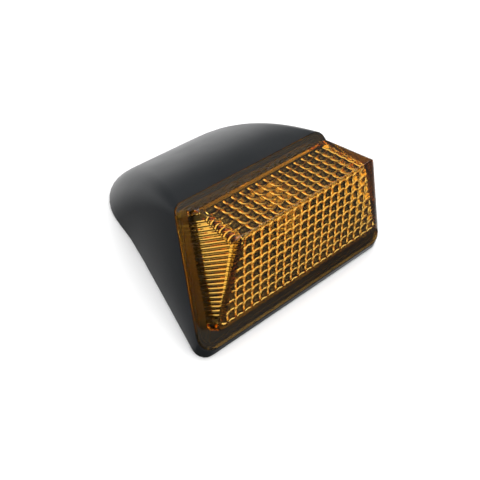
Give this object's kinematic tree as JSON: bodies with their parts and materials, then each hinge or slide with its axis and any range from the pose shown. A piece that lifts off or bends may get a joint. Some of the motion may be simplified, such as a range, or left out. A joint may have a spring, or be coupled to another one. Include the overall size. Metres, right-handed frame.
{
  "type": "vehicle indicator lamp",
  "caption": "Wedge-shaped black hood with an amber prism lens on its sloping mouth, closed by a base plate that carries a bayonet bulb socket.",
  "frame": {"origin": "centre of the mounting face, on the underside of the mounting seal", "axes": "+X along the long edge of the lens, +Y from the front edge towards the back of the hood, +Z out of the mounting face towards the lens ridge"},
  "size_m": [0.1248, 0.106, 0.0594],
  "materials": {
    "hood_plastic": "satin black moulded plastic with a fine texture",
    "amber_lens": "clear amber moulding, polished outside, prisms inside",
    "base_plastic": "matt black moulding",
    "black_rubber": "soft black rubber",
    "brass": "plain turned brass",
    "zinc_steel": "zinc plated",
    "socket_plastic": "dark heat-resistant moulding",
    "sleeve_metal": "nickel plated",
    "disc_board": "brown laminate board",
    "spring_steel": "bare spring wire",
    "bulb_glass": "clear bulb glass",
    "cap_metal": "nickel plated brass",
    "solder": "dull solder",
    "tungsten": "drawn wire"
  },
  "bodies": {
    "root": {"hood": "hood_plastic", "lens": "amber_lens", "lens_seal": "black_rubber", "base_plate": "base_plastic", "base_gasket": "black_rubber", "base_screws": "zinc_steel", "mounting_seal": "black_rubber", "threaded_inserts": "brass", "socket_body": "socket_plastic", "socket_seal": "black_rubber", "bayonet_sleeve": "sleeve_metal", "contact_disc": "disc_board", "contact_spring": "spring_steel", "centre_contact": "brass", "supply_terminal": "brass", "earth_terminal": "brass", "bulb_glass": "bulb_glass", "bulb_cap": "cap_metal", "bulb_tip": "solder", "filament": "tungsten"}
  },
  "joints": []
}
